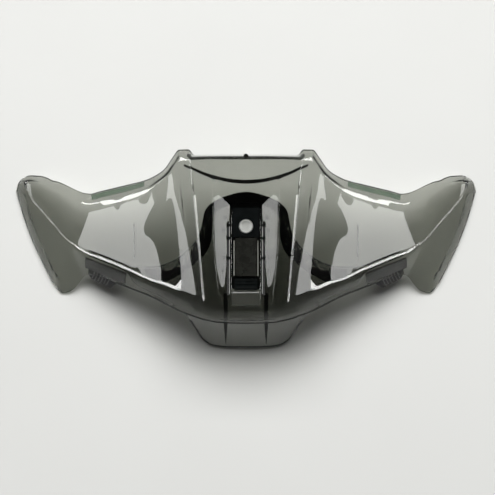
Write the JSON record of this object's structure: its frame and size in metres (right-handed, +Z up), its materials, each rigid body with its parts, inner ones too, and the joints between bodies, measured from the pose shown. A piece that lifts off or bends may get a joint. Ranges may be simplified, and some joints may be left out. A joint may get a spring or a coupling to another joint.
{
  "type": "helmet wind screen",
  "caption": "Smoked see-through wing-shaped wind screen with a raised centre, an inner panel with a tongue, a foam seal and a central slide latch with a push button.",
  "frame": {"origin": "under the middle of the whole part, on the surface it lies on", "axes": "+X along the span towards one wing tip, +Y towards the upper edge with the locating peg, +Z up, away from the open side"},
  "size_m": [0.2742, 0.1177, 0.0618],
  "materials": {
    "smoked_shell": "polished, smoked, see-through",
    "smoked_panel": "polished, smoked, see-through",
    "black_foam": "matte closed-cell foam",
    "black_rubber": "matte",
    "grey_plastic": "fine grain",
    "rail_plastic": "gloss",
    "black_plastic": "satin",
    "button_plastic": "satin",
    "clear_plastic": "clear, moulded",
    "spring_steel": "drawn wire",
    "tint_film": "thin green-tinted film"
  },
  "bodies": {
    "screen": {"outer_shell": "smoked_shell", "inner_panel": "smoked_panel", "foam_gasket": "black_foam", "top_seal": "black_rubber", "locating_peg": "grey_plastic", "guide_rail_left": "rail_plastic", "guide_rail_right": "rail_plastic", "latch_plate": "black_plastic", "slide_tray": "black_plastic", "button_spring": "spring_steel", "detent_spring_left": "spring_steel", "detent_spring_right": "spring_steel", "panel_rib_left": "black_plastic", "panel_rib_right": "black_plastic", "edge_tape_left": "tint_film", "edge_tape_right": "tint_film", "wing_block_left": "black_plastic", "wing_block_right": "black_plastic", "rubber_pad_left": "black_rubber", "rubber_pad_right": "black_rubber", "post_left_1": "grey_plastic", "post_left_2": "grey_plastic", "post_left_3": "grey_plastic", "post_left_4": "grey_plastic", "post_right_1": "grey_plastic", "post_right_2": "grey_plastic", "post_right_3": "grey_plastic", "post_right_4": "grey_plastic"},
    "slider": {"slide_carriage": "clear_plastic", "shutter_panel": "grey_plastic", "thumb_block": "black_plastic", "carriage_end_bar": "clear_plastic"},
    "button": {"push_button": "button_plastic"}
  },
  "joints": [
    {"name": "latch_slide", "type": "slide", "parent": "screen", "child": "slider", "axis": [0, -0.9932, -0.1162], "range_m": [0, 0.0065]},
    {"name": "button_press", "type": "slide", "parent": "screen", "child": "button", "axis": [0, 0.1162, -0.9932], "range_m": [0, 0.0015], "stiffness_N_per_m": 400, "springref_m": -0.0005, "deforming": ["button_spring"]}
  ]
}
